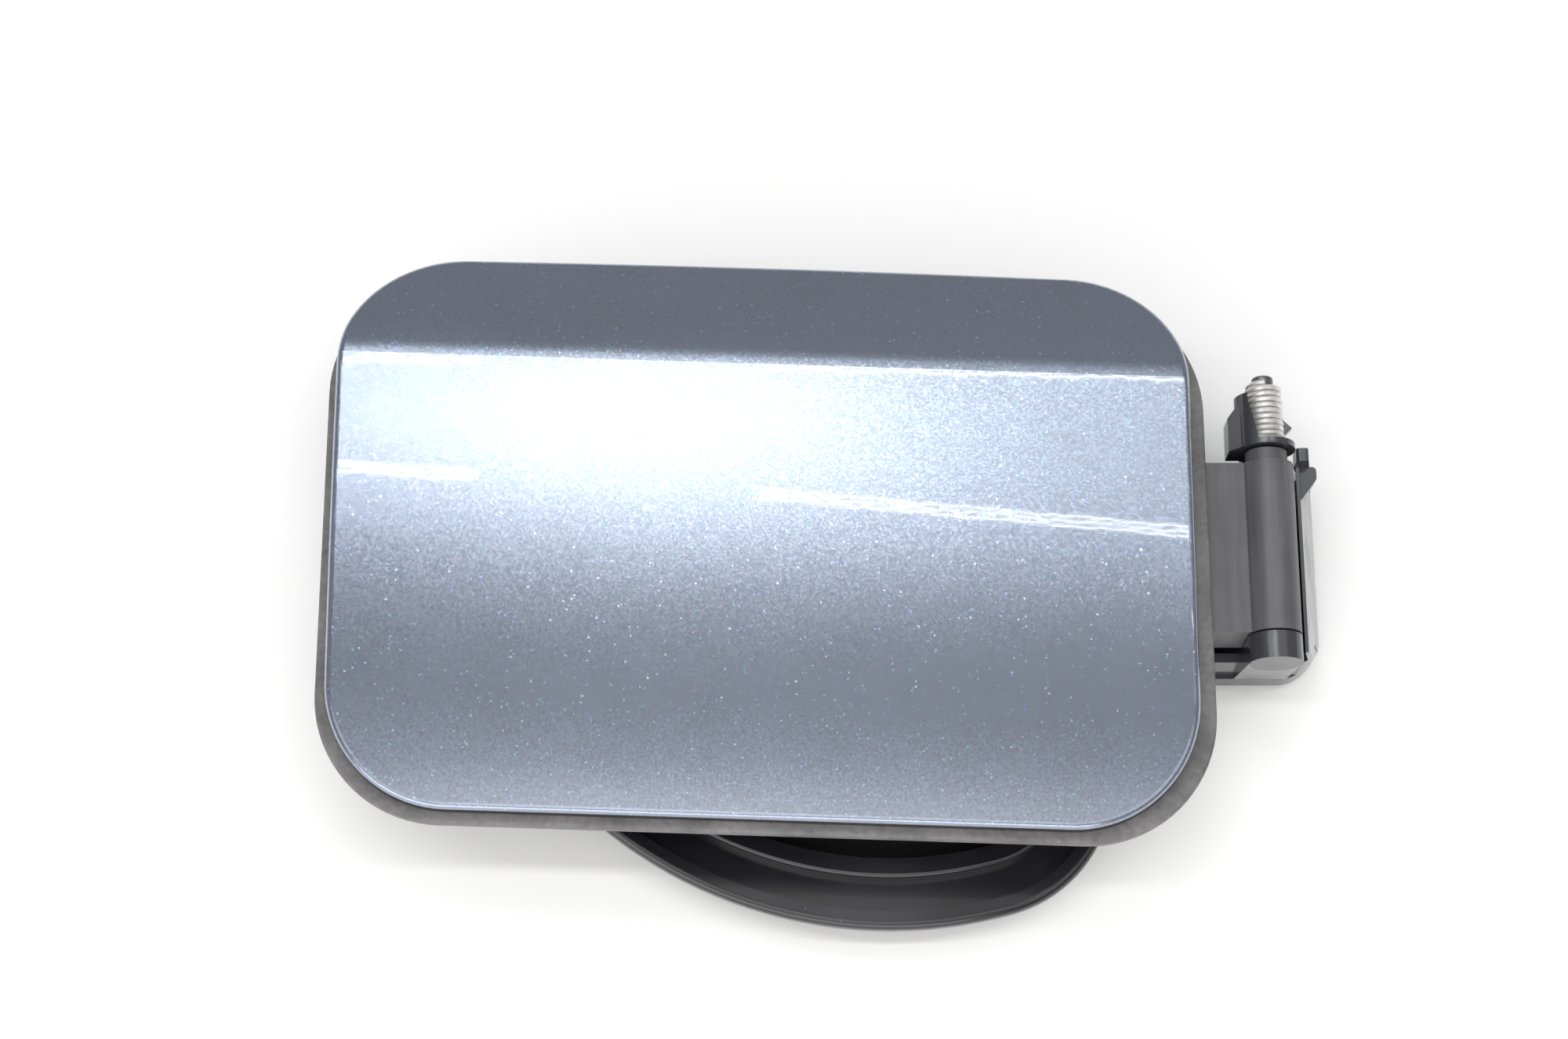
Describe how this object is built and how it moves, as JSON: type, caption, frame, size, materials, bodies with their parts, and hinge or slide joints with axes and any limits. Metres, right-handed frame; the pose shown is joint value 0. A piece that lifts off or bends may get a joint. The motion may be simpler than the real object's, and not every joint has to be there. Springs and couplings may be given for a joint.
{
  "type": "car fuel door",
  "caption": "Painted car fuel flap with a body line on a sprung side hinge, closed over a moulded filler bowl with a rubber collar, neck seal and push latch.",
  "frame": {"origin": "on the filler neck's axis, in the plane that the bowl's floor rests on", "axes": "+X from the bowl to the hinge, +Y along the hinge pin towards its spring, +Z out through the flap"},
  "size_m": [0.2339, 0.1535, 0.0536],
  "materials": {
    "skin_paint": "metallic flake under clear coat",
    "carrier_plastic": "moulded, fine grain",
    "edge_rubber": "dusty",
    "arm_plastic": "satin",
    "bracket_plastic": "gloss",
    "collar_rubber": "satin",
    "stop_rubber": "matt",
    "bowl_plastic": "moulded, fine grain",
    "latch_plastic": "satin",
    "plunger_plastic": "satin",
    "spring_steel": "zinc plated",
    "pin_steel": "oiled",
    "screw_steel": "zinc plated"
  },
  "bodies": {
    "bowl": {"filler_bowl": "bowl_plastic", "collar_seal": "collar_rubber", "neck_seal": "collar_rubber", "hinge_bracket": "bracket_plastic", "bracket_screws": "screw_steel", "torsion_spring": "spring_steel", "latch_body": "latch_plastic", "latch_screws": "screw_steel", "latch_wiper": "stop_rubber", "latch_spring": "spring_steel"},
    "flap": {"outer_skin": "skin_paint", "carrier_frame": "carrier_plastic", "edge_seal": "edge_rubber", "hinge_arm": "arm_plastic", "arm_screws": "screw_steel", "latch_keeper": "latch_plastic", "keeper_screws": "screw_steel", "bump_stops": "stop_rubber", "hinge_pin": "pin_steel"},
    "plunger": {"latch_plunger": "plunger_plastic"}
  },
  "joints": [
    {"name": "flap_hinge", "type": "hinge", "parent": "bowl", "child": "flap", "pos_m": [0.1049, 0.0095, 0.036], "axis": [0, 1, 0], "range_deg": [0, 110], "stiffness_Nm_per_rad": 0.03, "springref_deg": 148.97},
    {"name": "plunger_push", "type": "slide", "parent": "bowl", "child": "plunger", "axis": [0, 0, 1], "range_m": [-0.005, 0], "stiffness_N_per_m": 300, "springref_m": 0.004, "deforming": ["latch_spring"]}
  ]
}
